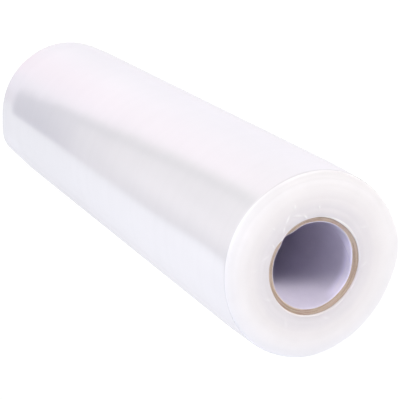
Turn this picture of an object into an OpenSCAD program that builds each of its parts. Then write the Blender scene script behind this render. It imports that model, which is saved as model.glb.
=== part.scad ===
// Roll of clear stretch cling film on a spiral-wound paper core.
// The roll stands on one end: the axis is Z, the origin is the centre of the
// bottom end, and every length is in millimetres.

/* [Film] */
// Width of the film web, which is the overall length of the roll
film_w = 400; // [250:10:600]
// Outside diameter of the wound film
film_od = 111.5; // [90:0.5:180]
// Outer part of each end, as a radius measured inwards from the barrel, over which the wraps draw back
shoulder_r = 15; // [4:0.5:15]
// How far the outermost wraps stand back from the end plane
shoulder_back = 4; // [1:0.5:12]
// Straight steps that make up the curve of one shoulder
shoulder_steps = 14; // [6:1:24]

/* [Core] */
// Bore of the finished core
core_bore = 50.8; // [38:0.1:56]
// Wall of the core, with its inner ply
core_wall = 3.6; // [2:0.1:6]
// Thickness of the white inner ply
liner_t = 0.4; // [0.3:0.1:0.8]
// How far the core ends stand back inside the film
core_recess = 1; // [0:0.5:5]

/* [Hidden] */
$fn = 128;
film_r = film_od / 2;
bore_r = core_bore / 2;
core_r = bore_r + core_wall;
flat_r = film_r - shoulder_r;
core_len = film_w - 2 * core_recess;

// Points of one shoulder, a quarter ellipse from the flat of the end to the barrel:
// each is [radius, distance back from the end plane]
function shoulder(n = shoulder_steps) = [
    for (i = [0:n])
        let (a = 90 * i / n)
        [flat_r + shoulder_r * sin(a), shoulder_back * (1 - cos(a))]
];

// Half section of the wound film, from the core outwards
function film_section() = concat(
    [[core_r, 0]],
    [for (p = shoulder()) [p[0], p[1]]],
    [for (i = [shoulder_steps:-1:0]) [shoulder()[i][0], film_w - shoulder()[i][1]]],
    [[core_r, film_w]]
);

// A plain tube standing on z = 0
module tube(r_out, r_in, h) {
    difference() {
        cylinder(r = r_out, h = h);
        translate([0, 0, -1]) cylinder(r = r_in, h = h + 2);
    }
}

// All the turns of film, wound tight against each other and the core
module film() {
    color([0.94, 0.93, 0.96])
        rotate_extrude() polygon(film_section());
}

// Brown board plies of the core
module core_tube() {
    color([0.72, 0.62, 0.54])
        translate([0, 0, core_recess]) tube(core_r, bore_r + liner_t, core_len);
}

// White paper ply that lines the bore
module core_liner() {
    color([0.80, 0.79, 0.86])
        translate([0, 0, core_recess]) tube(bore_r + liner_t, bore_r, core_len);
}

film();
core_tube();
core_liner();
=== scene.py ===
import bpy
import math
import numpy as np
from mathutils import Matrix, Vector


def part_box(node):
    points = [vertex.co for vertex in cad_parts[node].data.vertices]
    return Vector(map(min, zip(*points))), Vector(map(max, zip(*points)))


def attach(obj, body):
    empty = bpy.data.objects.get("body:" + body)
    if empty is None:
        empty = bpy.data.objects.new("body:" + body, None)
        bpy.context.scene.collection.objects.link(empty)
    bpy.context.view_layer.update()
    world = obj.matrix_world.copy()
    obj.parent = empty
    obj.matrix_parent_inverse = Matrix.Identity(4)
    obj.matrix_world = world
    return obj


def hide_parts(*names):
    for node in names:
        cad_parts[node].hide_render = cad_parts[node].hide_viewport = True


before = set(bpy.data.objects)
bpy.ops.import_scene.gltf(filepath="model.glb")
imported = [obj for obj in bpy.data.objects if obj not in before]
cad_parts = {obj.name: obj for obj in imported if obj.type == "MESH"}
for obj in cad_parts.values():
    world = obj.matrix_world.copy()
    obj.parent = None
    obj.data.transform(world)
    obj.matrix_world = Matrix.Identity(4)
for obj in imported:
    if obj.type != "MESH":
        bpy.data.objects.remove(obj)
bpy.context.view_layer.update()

# ---------------------------------------------------------------- sizes, mm
MM = 0.001
film_lo, film_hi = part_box("film")
tube_lo, tube_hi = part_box("core_tube")
line_lo, line_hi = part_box("core_liner")
L = film_hi.z / MM                       # overall length
R = round(film_hi.x / MM, 2)             # barrel radius
CORE_R = round(tube_hi.x / MM, 2)        # outside of the core
PLY_R = round(line_hi.x / MM, 2)         # between the board and the white inner ply
BORE_R = 25.4
CORE_Z0, CORE_Z1 = tube_lo.z / MM, tube_hi.z / MM
RIM_R = R - 0.95                         # the film's selvages are thin, so the roll is a little slimmer at its ends
FLAT_R = R - 15.0                        # the ends are flat out to here
TAU = 2 * math.pi


# ---------------------------------------------------------------- mesh tools
def smooth(a, b, x):
    t = np.clip((np.asarray(x, float) - a) / (b - a), 0, 1)
    return t * t * (3 - 2 * t)


def turn_gap(phi, centre):
    """Signed angle from centre to phi, between -pi and pi."""
    return (np.asarray(phi) - centre + math.pi) % TAU - math.pi


def hump(phi, degrees, width):
    """A bell round a bearing, both in degrees."""
    return np.exp(-(turn_gap(phi, math.radians(degrees)) / math.radians(width)) ** 2)


def bell(x, centre, width):
    return np.exp(-((np.asarray(x, float) - centre) / width) ** 2)


def soft_field(seed, rows, cols, row_len, col_len):
    """A smooth random field that repeats along its columns, with unit spread."""
    rng = np.random.default_rng(seed)
    f = np.fft.fft2(rng.standard_normal((rows, cols)))
    fr = np.fft.fftfreq(rows)[:, None] * row_len
    fc = np.fft.fftfreq(cols)[None] * col_len
    f = np.real(np.fft.ifft2(f * np.exp(-2 * (fr ** 2 + fc ** 2))))
    return (f - f.mean()) / max(f.std(), 1e-9)


def revolved(name, phi, rings, v_steps, marks=None):
    """A closed skin from rings of (radius, z, turn) in mm and radians; the last ring joins the first. phi runs once round, from -Y towards +X. marks are named values per ring and column."""
    n, m = len(rings), len(phi)
    co = np.zeros((n, m, 3))
    for i, (r, z, turn) in enumerate(rings):
        r, z = np.broadcast_to(r, m), np.broadcast_to(z, m)
        co[i, :, 0], co[i, :, 1], co[i, :, 2] = r * np.sin(phi + turn), -r * np.cos(phi + turn), z
    i, j = np.meshgrid(np.arange(n), np.arange(m), indexing="ij")
    i2, j2 = (i + 1) % n, (j + 1) % m
    quads = np.stack([i * m + j, i * m + j2, i2 * m + j2, i2 * m + j], -1).reshape(-1, 4)
    v = np.concatenate([[0], np.cumsum(v_steps)]).astype(float)
    v /= v[-1]
    u = np.concatenate([(phi - phi[0]) / TAU, [1.0]])
    uv = np.stack([
        np.stack([u[j], v[i]], -1), np.stack([u[j + 1], v[i]], -1),
        np.stack([u[j + 1], v[i + 1]], -1), np.stack([u[j], v[i + 1]], -1)], 2).reshape(-1, 4, 2)
    # faces look outwards: the enclosed volume comes out positive
    p = co.reshape(-1, 3)[quads]
    volume = (np.einsum("ij,ij->i", p[:, 0], np.cross(p[:, 1], p[:, 2]))
              + np.einsum("ij,ij->i", p[:, 0], np.cross(p[:, 2], p[:, 3]))).sum()
    if volume < 0:
        quads, uv = quads[:, ::-1], uv[:, ::-1]
    me = bpy.data.meshes.new(name)
    me.vertices.add(n * m)
    me.vertices.foreach_set("co", (co.reshape(-1) * MM).astype(np.float32))
    me.loops.add(quads.size)
    me.loops.foreach_set("vertex_index", quads.reshape(-1).astype(np.int32))
    me.polygons.add(len(quads))
    me.polygons.foreach_set("loop_start", np.arange(0, quads.size, 4, dtype=np.int32))
    me.polygons.foreach_set("use_smooth", np.ones(len(quads), bool))
    me.update(calc_edges=True)
    me.validate()
    layer = me.uv_layers.new(name="OFBake")
    layer.uv.foreach_set("vector", (0.002 + 0.996 * uv).astype(np.float32).reshape(-1))
    for key, values in (marks or {}).items():
        a = me.attributes.new(key, "FLOAT", "POINT")
        a.data.foreach_set("value", np.asarray(values, np.float32).reshape(-1))
    ob = bpy.data.objects.new(name, me)
    bpy.context.scene.collection.objects.link(ob)
    return ob


# ---------------------------------------------------------------- the wound film
TAIL = math.radians(152)                 # bearing of the free end of the film


def waver(z):
    """The free end doesn't run quite straight up the roll."""
    return 0.018 * np.sin(z / 74.0) + 0.010 * np.sin(z / 29.0 + 1.0)


def barrel_radius(phi, z, grid):
    """The barrel's stand-off from its nominal radius, in mm: slim ends, thick and thin lanes of the film wound over each other, slow ovality, soft lobes, the last wrap's step, and a few loose places at the rims."""
    z = np.asarray(z, float)
    end = np.minimum(z, L - z)
    slim = -0.95 + 0.83 * smooth(-2, 32, end)
    lanes = (0.0105 * np.sin(z / 25.5 * TAU + 0.8 + 0.5 * np.sin(phi - 0.6)) + 0.0050 * np.sin(z / 14.2 * TAU + 2.1 + 0.6 * np.sin(phi))
             + 0.0130 * np.sin(z / 61.0 * TAU + 4.0 + 0.4 * np.sin(2 * phi)) + 0.0014 * np.sin(z / 9.1 * TAU + 1.0 + np.sin(phi)))
    lobes = (0.016 * np.sin(6 * phi + 2.4 * np.sin(z / 47.0 + 0.6)) + 0.010 * np.sin(9 * phi - z / 46.0 + 1.3)
             + 0.004 * np.sin(15 * phi + z / 28.3 + 0.2))
    oval = 0.10 * np.cos(2 * phi + 0.9) + 0.05 * np.cos(3 * phi + z / 130.0)
    past = (grid - TAIL) / TAU
    loose = (2.3 * hump(phi, 221, 21) + 0.5 * hump(phi, 127, 14)) * smooth(L - 62, L - 2, z) + 2.8 * hump(phi, 57, 12) * smooth(42, 0, z)
    return slim + lanes + lobes + oval - 0.12 * past + loose


def near_back(phi):
    """How far the outermost wraps stand back from the top end's plane."""
    return 3.4 + 1.9 * hump(phi, 4, 27) + 0.22 * np.sin(2 * phi + 1.0) + 0.12 * np.sin(5 * phi)


def far_back(phi):
    return 2.9 + 0.35 * np.sin(phi + 2.0) + 0.15 * np.sin(3 * phi)


# small puckers in the wraps near the core: radius, bearing, half length, half width, lean from radial, height (mm, degrees)
CREASES = [
    (35.2, -22.4, 1.9, 0.42, -1.0, 0.52), (39.4, -32.7, 0.8, 0.45, -0.3, 0.62), (34.7, -55.9, 0.7, 0.45, 0.4, 0.60),
    (31.0, -40.3, 1.2, 0.42, 0.6, 0.52), (33.6, -33.0, 2.4, 0.36, 1.1, 0.34), (37.2, -8.0, 0.9, 0.40, 0.3, 0.32),
    (31.9, -14.0, 1.6, 0.40, -0.9, 0.30), (31.2, 5.0, 1.2, 0.45, -0.5, 0.24), (32.6, 18.0, 2.0, 0.55, 0.9, 0.16),
    (38.2, 31.0, 1.6, 0.60, 0.4, 0.12), (32.8, 63.0, 2.0, 0.60, -0.8, 0.14), (35.8, 96.0, 2.2, 0.60, 0.6, 0.12),
    (33.0, 140.0, 1.8, 0.60, 0.9, 0.14), (36.0, -112.0, 2.2, 0.60, -0.6, 0.12), (32.0, -150.0, 1.8, 0.60, 0.7, 0.14),
]


def end_surface(seed, phi, near):
    """Rings of one end, from just inside the core gap out to the rim: (radius, depth back from the end plane, mark)."""
    m = len(phi)
    back = near_back(phi) if near else far_back(phi)
    # the wraps' inner edge rolls over the core's rim
    lip = 0.05 * np.sin(3 * phi + seed) + 0.05 * np.sin(7 * phi + 2 * seed) + 0.03 * np.sin(17 * phi + seed)
    if near:
        lip = lip + 0.75 * hump(phi, -8, 10) + 0.40 * hump(phi, -6, 3.5) + 0.46 * hump(phi, 56, 34) + 1.05 * hump(phi, -94, 34) - 0.34 * hump(phi, 158, 36)
    start = [(CORE_R + 0.05, 5.0, 0.0), (CORE_R + 0.05, 1.45, 0.0), (CORE_R - 0.02, 0.98, 1.0), (CORE_R + 0.00, 0.72, 1.0),
             (CORE_R + 0.08, 0.42, 0.95), (CORE_R + 0.24, 0.20, 0.8), (CORE_R + 0.50, 0.08, 0.45), (CORE_R + 0.95, 0.02, 0.15)]
    out = [[np.full(m, r) - lip * w, np.full(m, d)] for r, d, w in start]
    flat_step = 0.56 if near else 0.8
    for r in np.concatenate([np.arange(CORE_R + 1.7, FLAT_R - 0.2, flat_step), [FLAT_R]]):
        out.append([np.full(m, r), np.full(m, 0.0)])
    if near:
        angles = np.concatenate([np.arange(4, 60, 3.5), np.arange(60, 84, 2.6), [84.5, 86.5, 88.2, 90]])
    else:
        angles = np.concatenate([np.arange(5, 60, 5.0), np.arange(60, 84, 3.4), [84.5, 87, 90]])
    span = RIM_R - FLAT_R
    for a in np.radians(angles):
        out.append([np.full(m, FLAT_R + span * math.sin(a)), back * (1 - math.cos(a))])
    rings = len(out)
    wander = soft_field(seed + 11, rings, m, 5, 90)
    marks = np.zeros((rings, m))
    for i, (r, d) in enumerate(out):
        r0 = float(r.mean())
        if i < 5:
            continue
        # edges of the wraps: each lies a little in or out of the end plane
        e = (0.014 * np.sin(r0 / 1.75 * TAU + phi + seed) + 0.016 * np.sin(r0 / 3.1 * TAU - phi + 1.0 + seed)
             + 0.030 * np.sin(r0 / 7.3 * TAU + phi + 2.0)) + 0.030 * wander[i]
        e = e * smooth(CORE_R, CORE_R + 2.0, r0) * (1 - 0.6 * smooth(RIM_R - 3, RIM_R, r0))
        e = e + 0.06 * bell(r0, CORE_R + 2.0, 1.0)             # the first wraps stand a hair proud of the rest
        # outermost wraps: a bead, a groove inside it
        e = e + (0.026 + 0.018 * np.sin(2 * phi + seed)) * bell(r0, RIM_R - 1.2, 0.7) - 0.022 * bell(r0, RIM_R - 2.5, 0.7) \
              + 0.018 * bell(r0, RIM_R - 3.8, 0.8)
        if near:
            for pr, pp, length, width, lean, high in CREASES:
                side = r0 * turn_gap(phi, math.radians(pp))
                along = (r0 - pr) * math.cos(lean) + side * math.sin(lean)
                across = -(r0 - pr) * math.sin(lean) + side * math.cos(lean)
                g = np.exp(-(along / length) ** 2 - (across / width) ** 2)
                e = e + high * g
                marks[i] = np.maximum(marks[i], g * min(1.0, high / 0.5))
        s = min(max((r0 - FLAT_R) / span, 0), 1)
        c = math.sqrt(max(1 - s * s, 0))
        nr, nz = back * s, span * c
        k = np.hypot(nr, nz)
        out[i] = [r + e * nr / k, np.maximum(d - e * nz / k, -0.6 if near else 0.0)]
    return [(r, d, marks[i]) for i, (r, d) in enumerate(out)]


def make_film():
    # columns are closer together round the puckers; the last wrap ends in a sharp step
    fine = np.arange(293.0, 391.0, 0.56)
    grid = np.radians(np.concatenate([np.arange(152.0, 292.6, 1.2), fine, np.arange(fine[-1] + 1.1, 510.9, 1.2), [511.5, 511.91]]))
    rings, steps, side, fleck_and_glint = [], [], [], []

    def add(r, z, step, s, mark=0.0):
        z = np.broadcast_to(z, len(grid))
        turn = float(waver(z.mean()))
        rings.append((r, z, turn))
        steps.append(step)
        side.append(np.full(len(grid), s))
        fleck_and_glint.append(np.broadcast_to(mark, len(grid)))

    def end(surface, top):
        for i, (r, d, mark) in surface:
            z = L - d if top else d
            phi = grid + waver(float(np.mean(z)))
            r0 = float(r.mean())
            w = smooth(RIM_R - 7, RIM_R, r0)
            # the rim's own stand-off is part of RIM_R, so only what is past it counts here
            off = barrel_radius(phi, z, grid) + 0.95 - 0.83 * smooth(-2, 32, np.minimum(z, L - z))
            add(r + w * off, z, 1.0 if i > 7 else 0.5, float(smooth(RIM_R - 0.45, RIM_R - 0.04, r0)), mark)

    top = list(enumerate(end_surface(3, grid + waver(L), True)))
    end(top, True)
    t = np.concatenate([[1.2, 3.2, 6.0, 9.5], np.linspace(13, L - 13, 104), [L - 9.5, L - 6.0, L - 3.2, L - 1.2]])
    for k in t:                                                 # down the barrel, between the wavy rims
        f = k / L
        z = (L - near_back(grid) - k) * (1 - f) + (far_back(grid) + (L - k)) * f
        phi = grid + waver(float(z.mean()))
        r = R + barrel_radius(phi, z, grid)
        ease = 1 - smooth(0, 9, min(k, L - k))
        flat = RIM_R + barrel_radius(phi, z, grid) + 0.95 - 0.83 * smooth(-2, 32, np.minimum(z, L - z))
        add(r * (1 - ease) + (flat + (r - flat) * 0.9) * ease, z, 3.2, 1.0)
    low = list(enumerate(end_surface(8, grid + waver(0.0), False)))
    end(low[::-1], False)
    return revolved("film_roll", grid, rings, steps, {"side": np.stack(side), "fleck_and_glint": np.stack(fleck_and_glint)})


# ---------------------------------------------------------------- the core
R_IN, R_OUT = PLY_R + 0.02, CORE_R - 0.03
PLIES = 5


def worn(phi, r, near):
    """The cut end of the core leans in towards the bore; one spot of its inner edge is crushed."""
    t = np.clip((R_OUT - r) / (R_OUT - R_IN), 0, 1.15)
    d = 0.95 * t ** 1.25 * (1 + 0.22 * np.sin(2 * phi + 0.7) + 0.10 * np.sin(5 * phi))
    if near:
        d = d + 2.3 * hump(phi, -10, 7.5) * smooth(R_IN + 2.2, R_IN - 0.3, r) + 0.5 * hump(phi, -40, 9) * smooth(R_IN + 1.2, R_IN - 0.2, r) \
              + 0.5 * hump(phi, 64, 10) * smooth(R_IN + 1.0, R_IN - 0.2, r) + 0.6 * hump(phi, -146, 12) * smooth(R_IN + 1.0, R_IN - 0.2, r)
    return d


def make_core():
    m = 560
    phi = np.arange(m) * TAU / m
    radii = np.linspace(R_IN, R_OUT, 29)

    def end(seed, near):
        rough = soft_field(seed, len(radii), m, 2.0, 5)
        slow = soft_field(seed + 1, len(radii), m, 12, 70)
        rows = []
        for i, r in enumerate(radii):
            t = (r - R_IN) / (R_OUT - R_IN) * PLIES
            groove = 0.09 * np.exp(-((t - np.round(t)) / 0.16) ** 2) * (0.5 + 0.5 * (0 < np.round(t) < PLIES))
            edge = 0.22 * max(0, 1 - (r - R_IN) / 0.3) ** 2 + 0.22 * max(0, 1 - (R_OUT - r) / 0.35) ** 2
            d = worn(phi, r, near) + groove * (1 + 0.5 * slow[i]) + edge + 0.035 * rough[i] + 0.05 * slow[i]
            rr = r + 0.018 * rough[i] * (0 < i < len(radii) - 1)
            rows.append((np.minimum(rr, CORE_R - 0.005), np.clip(d, 0.0, 3.6)))
        return rows

    rings, steps = [], []

    def add(r, z, step):
        rings.append((r, z, 0.0))
        steps.append(step)

    for r, d in end(21, True):                                  # top edge, from the bore outwards
        add(r, CORE_Z1 - d, 0.4)
    for z in (CORE_Z1 - 4.5, CORE_Z1 - 9, 200.0, CORE_Z0 + 9, CORE_Z0 + 4.5):
        add(R_OUT, z, 1.0)
    for r, d in reversed(end(33, False)):
        add(r, CORE_Z0 + d, 0.4)
    for z in (CORE_Z0 + 4.5, CORE_Z0 + 9, 200.0, CORE_Z1 - 9, CORE_Z1 - 4.5):
        add(R_IN, z, 1.0)
    return revolved("core_board", phi, rings, steps)


SEAM_LEAD = 128.0                        # the inner ply winds once round in this length
SEAM_Z = 396.0                           # height of its seam at the bearing below
SEAM_AT = math.radians(-150)


def make_liner():
    m = 420
    phi = np.arange(m) * TAU / m
    top_edge = CORE_Z1 - worn(phi, PLY_R, True) - 0.10
    low_edge = CORE_Z0 + worn(phi, PLY_R, False) + 0.10
    depth = np.concatenate([np.arange(0, 6, 1.0), np.arange(6, 92, 2.6), np.arange(96, 300, 9.0), np.arange(306, 391, 4.0), np.arange(392, 397.6, 1.2)])
    f = np.clip(depth / 396.8, 0, 1)
    rows = soft_field(5, len(f), m, 6, 40)
    edge = soft_field(6, 4, m, 2, 6)
    rings, steps = [], []

    def add(r, z, step):
        rings.append((r, z, 0.0))
        steps.append(step)

    def inner(z, i):
        along = (SEAM_Z - z) / SEAM_LEAD * TAU
        s = turn_gap(phi, SEAM_AT + along) * BORE_R             # distance round from the seam, mm
        step = 0.12 * np.exp(-np.clip(s, 0, None) / 7.0) * (s > 0)
        return BORE_R - step + 0.018 * rows[i]

    for i, k in enumerate(f):
        z = (top_edge - 0.12) * (1 - k) + (low_edge + 0.12) * k
        add(inner(z, i), z, 1.0 if k < 0.25 else 0.5)
    add(BORE_R + 0.10 + 0.02 * edge[0], low_edge + 0.03 * np.abs(edge[1]), 0.4)
    add(PLY_R - 0.06, low_edge - 0.02 + 0.03 * np.abs(edge[0]), 0.4)
    add(PLY_R - 0.01, low_edge + 0.6, 0.4)
    add(PLY_R - 0.01, 200.0, 0.4)
    add(PLY_R - 0.01, top_edge - 0.6, 0.4)
    add(PLY_R - 0.05, top_edge + 0.03 - 0.04 * np.abs(edge[2]), 0.4)
    add(BORE_R + 0.12 + 0.02 * edge[3], top_edge - 0.04 * np.abs(edge[3]), 0.4)
    return revolved("core_paper", phi, rings, steps)


# ---------------------------------------------------------------- node tools
class Val:
    """A value in a node tree, so that a pattern reads as a formula."""

    def __init__(self, tree, socket):
        self.tree, self.socket = tree, socket

    def __add__(self, b): return self.tree.math("ADD", self, b)
    def __radd__(self, b): return self.tree.math("ADD", b, self)
    def __sub__(self, b): return self.tree.math("SUBTRACT", self, b)
    def __rsub__(self, b): return self.tree.math("SUBTRACT", b, self)
    def __mul__(self, b): return self.tree.math("MULTIPLY", self, b)
    def __rmul__(self, b): return self.tree.math("MULTIPLY", b, self)
    def __truediv__(self, b): return self.tree.math("DIVIDE", self, b)
    def __rtruediv__(self, b): return self.tree.math("DIVIDE", b, self)
    def __pow__(self, b): return self.tree.math("POWER", self, b)


class Tree:
    def __init__(self, nt):
        self.nt = nt
        nt.nodes.clear()

    def node(self, kind, **props):
        n = self.nt.nodes.new(kind)
        for k, v in props.items():
            setattr(n, k, v)
        return n

    def put(self, socket, value):
        if isinstance(value, Val):
            self.nt.links.new(value.socket, socket)
        elif isinstance(value, bpy.types.NodeSocket):
            self.nt.links.new(value, socket)
        elif hasattr(value, "__len__") and len(value) == 3 and len(socket.default_value) == 4:
            socket.default_value = (*value, 1.0)
        else:
            socket.default_value = value

    def math(self, op, *args, clamp=False):
        n = self.node("ShaderNodeMath", operation=op, use_clamp=clamp)
        for s, a in zip(n.inputs, args):
            self.put(s, a)
        return Val(self, n.outputs[0])

    def ramp(self, x, a, b, lo=0.0, hi=1.0, kind="SMOOTHSTEP"):
        """lo where x is at a or before it, hi where x is at b or past it."""
        n = self.node("ShaderNodeMapRange", interpolation_type=kind)
        for s, v in zip(n.inputs, (x, a, b, lo, hi)):
            self.put(s, v)
        return Val(self, n.outputs[0])

    def mix(self, fac, a, b, blend="MIX"):
        n = self.node("ShaderNodeMix", data_type="RGBA", blend_type=blend)
        self.put(n.inputs[0], fac)
        self.put(n.inputs[6], a)
        self.put(n.inputs[7], b)
        return n.outputs[2]

    def scale(self, colour, level):
        return self.mix(1.0, colour, self.xyz(level, level, level), "MULTIPLY")

    def xyz(self, x, y, z):
        n = self.node("ShaderNodeCombineXYZ")
        for s, v in zip(n.inputs, (x, y, z)):
            self.put(s, v)
        return n.outputs[0]

    def split(self, vec):
        n = self.node("ShaderNodeSeparateXYZ")
        self.put(n.inputs[0], vec)
        return [Val(self, o) for o in n.outputs]

    def mark(self, name):
        n = self.node("ShaderNodeAttribute", attribute_name=name)
        return Val(self, n.outputs["Fac"])

    def noise(self, vec, detail=2.0, rough=0.5, distort=0.0):
        n = self.node("ShaderNodeTexNoise", noise_dimensions="3D")
        self.put(n.inputs["Vector"], vec)
        n.inputs["Scale"].default_value = 1.0
        n.inputs["Detail"].default_value = detail
        n.inputs["Roughness"].default_value = rough
        n.inputs["Distortion"].default_value = distort
        return Val(self, n.outputs[0])

    def gauss(self, x, centre, width):
        d = (x - centre) / width
        return self.math("EXPONENT", (d * d) * -1.0)

    def bump(self, height, strength, distance):
        n = self.node("ShaderNodeBump")
        n.inputs["Strength"].default_value = strength
        n.inputs["Distance"].default_value = distance
        self.put(n.inputs["Height"], height)
        return n.outputs["Normal"]

    def colours(self, x, stops):
        n = self.node("ShaderNodeValToRGB")
        n.color_ramp.interpolation = "EASE"
        e = n.color_ramp.elements
        e[0].position, e[0].color = stops[0][0], (*stops[0][1], 1)
        e[1].position, e[1].color = stops[-1][0], (*stops[-1][1], 1)
        for pos, col in stops[1:-1]:
            k = e.new(pos)
            k.color = (*col, 1)
        self.put(n.inputs[0], x)
        return n.outputs[0]


def material(name):
    m = bpy.data.materials.new(name)
    m.use_nodes = True
    t = Tree(m.node_tree)
    out = t.node("ShaderNodeOutputMaterial")
    p = t.node("ShaderNodeBsdfPrincipled")
    m.node_tree.links.new(p.outputs[0], out.inputs[0])
    return m, t, p


def polar(t):
    """Place on the part in mm: x, y, height, radius, and bearing from -Y."""
    c = t.node("ShaderNodeTexCoord")
    x, y, z = t.split(c.outputs["Object"])
    x, y, z = x * 1000.0, y * 1000.0, z * 1000.0
    r = t.math("SQRT", x * x + y * y)
    phi = t.math("ARCTAN2", x, y * -1.0)
    return x, y, z, r, phi


# ---------------------------------------------------------------- materials
def film_material():
    m, t, p = material("clear_film_wound")
    x, y, z, r, phi = polar(t)
    nx, ny = x / (r + 0.001), y / (r + 0.001)
    side = t.mark("side")                                           # 1 on the barrel, 0 on the ends
    fleck_and_glint = t.mark("fleck_and_glint")
    # barrel: faint lanes round the roll, very slow drift along it
    lane = t.noise(t.xyz(nx * 0.35, ny * 0.35, z * 0.16), 3.0, 0.55)
    fine = t.noise(t.xyz(nx * 0.6, ny * 0.6, z * 1.1), 2.0, 0.6)
    drift = t.noise(t.xyz(x * 0.02, y * 0.02, z * 0.012), 2.0, 0.5)
    barrel_level = 0.985 + (lane - 0.5) * 0.035 + (fine - 0.5) * 0.018 + (drift - 0.5) * 0.05
    # a little darker towards both ends of the barrel
    barrel = t.scale((0.784, 0.774, 0.800), barrel_level * t.ramp(z, 230.0, 385.0, 1.0, 0.990) * t.ramp(z, 170.0, 60.0, 1.0, 0.982))
    # ends: painted shade, greyest by the core, and painted light, brightest at the rim, standing in for the light that
    # passes through the wraps
    wobble = t.noise(t.xyz(x * 0.09, y * 0.09, z * 0.02), 2.0, 0.5)
    rr = r + (wobble - 0.5) * 3.0
    radial = t.colours(t.ramp(rr, CORE_R, R, kind="LINEAR"), [
        (0.00, (0.757, 0.728, 0.762)), (0.20, (0.815, 0.790, 0.820)), (0.42, (0.874, 0.849, 0.867)),
        (0.62, (0.902, 0.883, 0.900)), (0.80, (0.902, 0.889, 0.913)), (1.00, (0.925, 0.916, 0.944))])
    rings = t.noise(t.xyz(nx * 0.5, ny * 0.5, r * 1.3), 3.0, 0.6)
    ray = t.noise(t.xyz(nx * 5.0, ny * 5.0, r * 0.12), 2.0, 0.5)
    cloud = t.noise(t.xyz(x * 0.05, y * 0.05, 3.0), 2.0, 0.5)
    end_level = 1.0 + (rings - 0.5) * 0.020 + (ray - 0.5) * 0.035 + (cloud - 0.5) * 0.05
    end = t.scale(radial, end_level)
    # painted shade on the outer wraps on the key-light side of the roll, and painted light further in on the opposite
    # side
    outer = t.ramp(r, 50.6, 54.2)
    end = t.scale(end, 1.0 - t.gauss(phi, math.radians(-48), math.radians(62)) * outer * 0.10 + t.gauss(phi, math.radians(80), math.radians(46)) * t.ramp(r, 40.0, 49.0) * 0.055)
    # painted shade just outside the core on the far side, near bearing 135 degrees
    end = t.scale(end, 1.0 - t.gauss(phi, math.radians(135), math.radians(32)) * t.ramp(r, CORE_R + 1.8, CORE_R + 0.6) * 0.12)
    lip = t.ramp(r, CORE_R + 0.55, CORE_R + 0.05)
    white = t.gauss(phi, math.radians(-85), math.radians(60)) * 0.75 + 0.10
    end = t.mix(lip * white, end, (0.97, 0.95, 0.93))                # painted highlight: the inner edge of the wraps is painted whiter, most on the left
    # the puckers are painted white: partly torn film fuzz, partly a painted glint
    end = t.mix(fleck_and_glint, end, (1.0, 1.0, 1.0))
    # painted shade on the rim of the top end on the key-light side, holding down its highlight
    left = t.gauss(phi, math.radians(-45), math.radians(65))
    rim = t.ramp(z, 395.2, 397.0) * (t.ramp(r, 49.5, 51.5) * 0.09 + t.ramp(r, 53.2, 54.6) * 0.06) * left
    t.put(p.inputs["Base Color"], t.scale(t.mix(side, end, barrel), 1.0 - rim))
    t.put(p.inputs["Roughness"], t.ramp(side, 0.3, 1.0, 0.44, 0.085, "LINEAR") + (fine - 0.5) * 0.02 - fleck_and_glint * 0.22)
    t.put(p.inputs["Coat Weight"], t.ramp(side, 0.2, 1.0, 0.06, 1.0, "LINEAR") + fleck_and_glint * 0.6)
    p.inputs["Coat Roughness"].default_value = 0.29
    p.inputs["Coat IOR"].default_value = 1.15
    t.put(p.inputs["IOR"], t.ramp(side, 0.5, 1.0, 1.45, 2.4))
    # bump: wrap edges on the ends, thin lanes and a little orange peel on the barrel
    edges = t.noise(t.xyz(nx * 0.4, ny * 0.4, r * 5.5), 3.0, 0.65)
    peel = t.noise(t.xyz(x * 0.10, y * 0.10, z * 0.13), 2.0, 0.5)
    lines = t.noise(t.xyz(nx * 0.3, ny * 0.3, z * 0.42), 2.0, 0.5)
    h = (edges * (1.0 - side)) * 0.08 + (peel * 0.022 + lines * 0.005) * side
    t.put(p.inputs["Normal"], t.bump(h, 0.35, 0.001))
    return m


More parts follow.
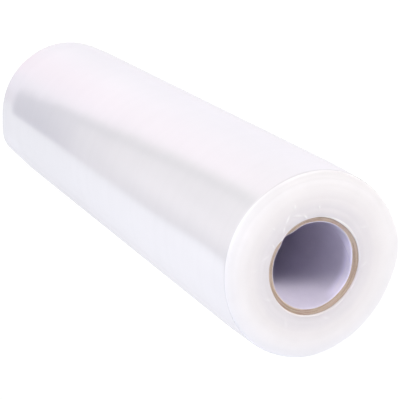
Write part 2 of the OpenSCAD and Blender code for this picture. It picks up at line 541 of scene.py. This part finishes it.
def board_material():
    m, t, p = material("core_board_kraft")
    x, y, z, r, phi = polar(t)
    fibre = t.noise(t.xyz(x * 1.3, y * 1.3, z * 1.3), 4.0, 0.65)
    patch = t.noise(t.xyz(x * 0.13, y * 0.13, z * 0.13), 2.0, 0.5)
    tint = t.noise(t.xyz(x * 0.09 + 40.0, y * 0.09, z * 0.09), 2.0, 0.5)
    speck = t.noise(t.xyz(x * 4.0, y * 4.0, z * 4.0), 2.0, 0.6)
    ply = (r - PLY_R) / (CORE_R - PLY_R) * PLIES + (fibre - 0.5) * 0.35
    each = t.noise(t.xyz(x * 0.06, y * 0.06, t.math("FLOOR", ply) * 7.3), 2.0, 0.6)
    gap = t.math("PINGPONG", ply, 0.5)                              # 0 on the glue lines, 0.5 mid-ply
    line = t.ramp(gap, 0.0, 0.20, 1.0, 0.0)
    base = t.mix(t.ramp(patch, 0.38, 0.62), (0.42, 0.305, 0.255), (0.51, 0.395, 0.335))
    base = t.mix(t.ramp(tint, 0.40, 0.62) * 0.7, base, (0.45, 0.365, 0.255))
    base = t.mix(t.ramp(tint, 0.52, 0.36) * 0.6, base, (0.54, 0.375, 0.33))
    base = t.mix(t.ramp(fibre, 0.30, 0.75) * 0.7, base, (0.55, 0.44, 0.37))
    base = t.mix(t.ramp(each, 0.42, 0.60) * 0.65, base, (0.60, 0.49, 0.41))
    base = t.mix(t.ramp(each, 0.52, 0.36) * 0.5, base, (0.37, 0.26, 0.21))
    base = t.mix(line * 0.5, base, (0.32, 0.23, 0.18))
    base = t.mix(t.ramp(speck, 0.62, 0.75) * 0.4, base, (0.74, 0.63, 0.54))
    # painted light on the left of the board's cut end, and a little painted shade near bearing 120 degrees
    base = t.scale(base, 1.0 + t.gauss(phi, math.radians(-78), math.radians(44)) * 0.24 - t.gauss(phi, math.radians(120), math.radians(50)) * 0.05)
    rim = t.ramp(r, CORE_R - 0.50, CORE_R - 0.10) + t.ramp(r, PLY_R + 0.34, PLY_R + 0.04)
    faint = 1.0 - t.ramp(t.math("COSINE", phi - 2.75), 0.35, 0.9) * 0.92
    # painted shade: a dark line at the board's outer edge on the far side, where the gap to the film is shaded
    base = t.mix(t.ramp(r, CORE_R - 0.45, CORE_R - 0.15) * (1.0 - faint) * 0.55, base, (0.27, 0.20, 0.16))
    # the board's cut edges are painted pale: partly the frayed fibres' own colour, partly a painted highlight strongest
    # near bearings -95 and 65 degrees and faded out on the far side
    pale = t.gauss(phi, math.radians(-95), math.radians(36)) + t.gauss(phi, math.radians(65), math.radians(40))
    base = t.mix(rim * (0.60 + pale * 0.24 + (patch - 0.5) * 1.6) * faint, base, (0.90, 0.83, 0.76))
    t.put(p.inputs["Base Color"], base)
    t.put(p.inputs["Roughness"], 0.86 + (fibre - 0.5) * 0.12)
    p.inputs["IOR"].default_value = 1.45
    t.put(p.inputs["Normal"], t.bump(fibre * 0.7 + speck * 0.3 - line * 0.5, 0.5, 0.0003))
    return m


def paper_material():
    m, t, p = material("core_inner_paper")
    x, y, z, r, phi = polar(t)
    fibre = t.noise(t.xyz(x * 1.6, y * 1.6, z * 0.9), 4.0, 0.6)
    cloud = t.noise(t.xyz(x * 0.12, y * 0.12, z * 0.07), 3.0, 0.5)
    # the ply winds round as a helix: s runs 0 to 1 across the strip
    s = t.math("FRACT", (phi - SEAM_AT) / TAU + (z - SEAM_Z) / SEAM_LEAD + 10.0)
    seam = t.ramp(s, 0.0, 0.010, 1.0, 0.0) * t.ramp(s, 0.0, 0.0008, 0.0, 1.0)
    base = t.mix(t.ramp(cloud, 0.3, 0.7), (0.676, 0.642, 0.777), (0.714, 0.680, 0.811))
    base = t.mix(t.ramp(fibre, 0.35, 0.8) * 0.35, base, (0.753, 0.729, 0.83))
    base = t.mix(seam * 0.35, base, (0.36, 0.32, 0.40))
    # painted light: the paper is painted paler at the mouth of the core, on the bearings round -160 degrees
    base = t.scale(base, 1.0 + t.ramp(z, 386.0, 394.0) * t.ramp(t.math("COSINE", phi + 2.79), 0.62, 0.93) * 0.36)
    t.put(p.inputs["Base Color"], base)
    t.put(p.inputs["Roughness"], 0.58 + (fibre - 0.5) * 0.15)
    p.inputs["IOR"].default_value = 1.45
    t.put(p.inputs["Normal"], t.bump(fibre * 0.6 + cloud * 0.4 - seam * 0.4, 0.25, 0.0004))
    return m


# ---------------------------------------------------------------- build
film = make_film()
film.data.materials.append(film_material())
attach(film, "root")
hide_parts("film")

board = make_core()
board.data.materials.append(board_material())
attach(board, "root")
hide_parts("core_tube")

paper = make_liner()
paper.data.materials.append(paper_material())
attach(paper, "root")
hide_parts("core_liner")

# ---------------------------------------------------------------- camera
cam = bpy.data.cameras.new("camera")
cam.lens = 117.139
cam.sensor_width = 36.0
cam.clip_start, cam.clip_end = 0.01, 100.0
cam_ob = bpy.data.objects.new("camera", cam)
right = (-0.537329, 0.723732, 0.433000)
up = (-0.843362, -0.458517, -0.280183)
back = (-0.004239, -0.515726, 0.856743)
place = (0.0, -0.434704, 0.979346)
cam_ob.matrix_world = Matrix([[right[i], up[i], back[i], place[i]] for i in range(3)] + [[0, 0, 0, 1]])
bpy.context.scene.collection.objects.link(cam_ob)
bpy.context.scene.camera = cam_ob

# ---------------------------------------------------------------- floor
fm = bpy.data.meshes.new("floor")
S = 14.0
fm.from_pydata([(-S, -S, 0), (S, -S, 0), (S, S, 0), (-S, S, 0)], [], [(0, 1, 2, 3)])
floor = bpy.data.objects.new("floor", fm)
bpy.context.scene.collection.objects.link(floor)
m, t, p = material("floor_white")
p.inputs["Base Color"].default_value = (0.16, 0.16, 0.16, 1)
p.inputs["Roughness"].default_value = 1.0
p.inputs["Specular IOR Level"].default_value = 0.0
p.inputs["Emission Color"].default_value = (1, 1, 1, 1)
p.inputs["Emission Strength"].default_value = 0.93
fm.materials.append(m)
floor.visible_glossy = False

# ---------------------------------------------------------------- world: a white studio with one soft key light and dark gaps between its panels
world = bpy.data.worlds.new("studio")
bpy.context.scene.world = world
world.use_nodes = True
t = Tree(world.node_tree)
tc = t.node("ShaderNodeTexCoord")
dx, dy, dz = t.split(tc.outputs["Generated"])
az = t.math("ARCTAN2", dx, dy * -1.0) * (180 / math.pi)             # 0 towards -Y, 90 towards +X
el = t.math("ARCSINE", dz) * (180 / math.pi)

# below the horizon, seen only as reflections in the barrel: bright panels on both sides of a dark gap
depth = t.ramp(el, -56.8, -68.9, 0.0, 1.1, "LINEAR")
lumps = t.noise(t.xyz(el * 1.5, 4.0, 0.0), 2.0, 0.6)
edge = t.math("POWER", depth, 2.1) * 50.0 - 34.0 + (lumps - 0.5) * 11.0
foot = 59.5 - t.ramp(el, -61.0, -57.0) * 8.0 - t.ramp(el, -68.2, -71.0) * 8.0
gap = t.ramp(az - edge, -6.0, 5.0) * t.ramp(az - foot, 5.5, -5.5)
inside = t.ramp(el, -66.3, -64.2, 0.02, 0.50) - t.ramp(el, -63.2, -61.0) * 0.07 + t.ramp(el, -67.2, -70.5, 0.0, 0.62) + t.gauss(az, 27.0, 17.0) * t.ramp(el, -64.5, -60.5) * 0.38
inside = inside * (1.0 - t.gauss(az - edge, 12.0, 10.0) * t.ramp(el, -66.4, -64.6) * 0.97)
gap_tone = t.xyz(inside, inside * 0.90, inside * 0.90 + t.ramp(el, -63.0, -67.0, 0.0, 0.09))
away = t.ramp(az, -180.0, 0.0, kind="LINEAR") * t.ramp(az, 145.0, 125.0)
upper_far = t.colours(away, [
    (0.00, (0.92, 0.89, 0.94)), (0.18, (0.86, 0.84, 0.89)), (0.29, (0.76, 0.74, 0.83)), (0.41, (0.69, 0.67, 0.77)),
    (0.53, (0.71, 0.66, 0.77)), (0.64, (0.74, 0.63, 0.77)), (0.76, (0.79, 0.62, 0.76)), (0.89, (0.85, 0.68, 0.83)), (1.00, (0.78, 0.71, 0.84))])
upper_near = t.colours(away, [
    (0.00, (0.90, 0.88, 0.93)), (0.18, (0.84, 0.82, 0.88)), (0.29, (0.69, 0.67, 0.78)), (0.41, (0.54, 0.53, 0.65)),
    (0.53, (0.50, 0.47, 0.60)), (0.64, (0.55, 0.46, 0.58)), (0.76, (0.66, 0.51, 0.62)), (1.00, (0.66, 0.51, 0.62))])
upper = t.mix(t.ramp(el, -68.0, -59.0, kind="LINEAR"), upper_far, upper_near)
upper = t.scale(upper, 1.0 - t.ramp(el, -58.5, -55.0) * t.ramp(az, -105.0, -80.0) * 0.22)
lower = t.mix(t.ramp(el, -68.0, -57.0), (0.765, 0.765, 0.805), (0.93, 0.92, 0.97))
lower = t.scale(lower, 1.01 - t.ramp(az, 85.0, 150.0) * t.ramp(el, -66.5, -62.5) * 0.12 + t.gauss(az, 66.0, 11.0) * t.ramp(el, -61.0, -56.0) * 0.16)
right_side = t.ramp(az, 32.0, 54.0) * t.ramp(az - t.ramp(el, -66.0, -57.0, 0.0, 12.0), 166.0, 152.0)
low = t.mix(gap, t.mix(right_side, upper, lower), gap_tone)
# strips for the views from the side
strips = None
for c, w, a in ((-150, 9, 0.75), (-112, 4, 0.45), (-34, 6, 0.60), (14, 3.5, 0.35), (40, 13, 0.80), (104, 5, 0.55), (141, 10, 0.70), (176, 3.5, 0.4)):
    g = t.gauss(az, float(c), float(w)) * a
    strips = g if strips is None else strips + g
shallow = t.scale((0.98, 0.96, 1.0), 1.0 - t.math("MINIMUM", strips, 0.88))
# the side that faces the key light mirrors darker panels, so that it keeps its shape
shallow = t.scale(shallow, 1.0 - t.ramp(az, -178.0, -150.0) * t.ramp(az, -20.0, -50.0) * 0.70)
low = t.mix(t.ramp(el, -48.0, -38.0), low, shallow)

# above it: brightest towards the horizon, dimmer round the key light, warmer on the left and cooler on the right
turn = t.math("SINE", az * (math.pi / 180))
height = t.ramp(el, 22.0, 5.0) * (t.ramp(turn, -0.5, 0.4) * 1.5 + 1.1) + 0.60 - t.ramp(el, 28.0, 60.0) * 0.32
dim = 1.0 - t.ramp(az, -175.0, -140.0) * t.ramp(az, -30.0, -60.0) * 0.42
tone = t.mix(t.ramp(turn, -1.0, 1.0, kind="LINEAR"), (1.04, 1.0, 0.955), (0.93, 0.97, 1.09))
sky = t.scale(tone, height * dim)
ka, ke = math.radians(-75), math.radians(42)
toward = dx * (math.sin(ka) * math.cos(ke)) + dy * (-math.cos(ka) * math.cos(ke)) + dz * math.sin(ke)
key = t.ramp(toward, math.cos(math.radians(13)), math.cos(math.radians(8)), 0.0, 23.6)
sky = t.mix(1.0, sky, t.scale((1.0, 0.965, 0.93), key), "ADD")
whole = t.mix(t.ramp(el, -12.0, 6.0), low, sky)
lp = t.node("ShaderNodeLightPath")
seen = t.mix(Val(t, lp.outputs["Is Camera Ray"]), whole, (1.02, 1.02, 1.02))
bg = t.node("ShaderNodeBackground")
t.put(bg.inputs[0], seen)
wo = t.node("ShaderNodeOutputWorld")
world.node_tree.links.new(bg.outputs[0], wo.inputs[0])

vs = bpy.context.scene.view_settings
vs.view_transform = "Standard"
vs.look = "None"
vs.exposure = 0.0
vs.gamma = 1.0
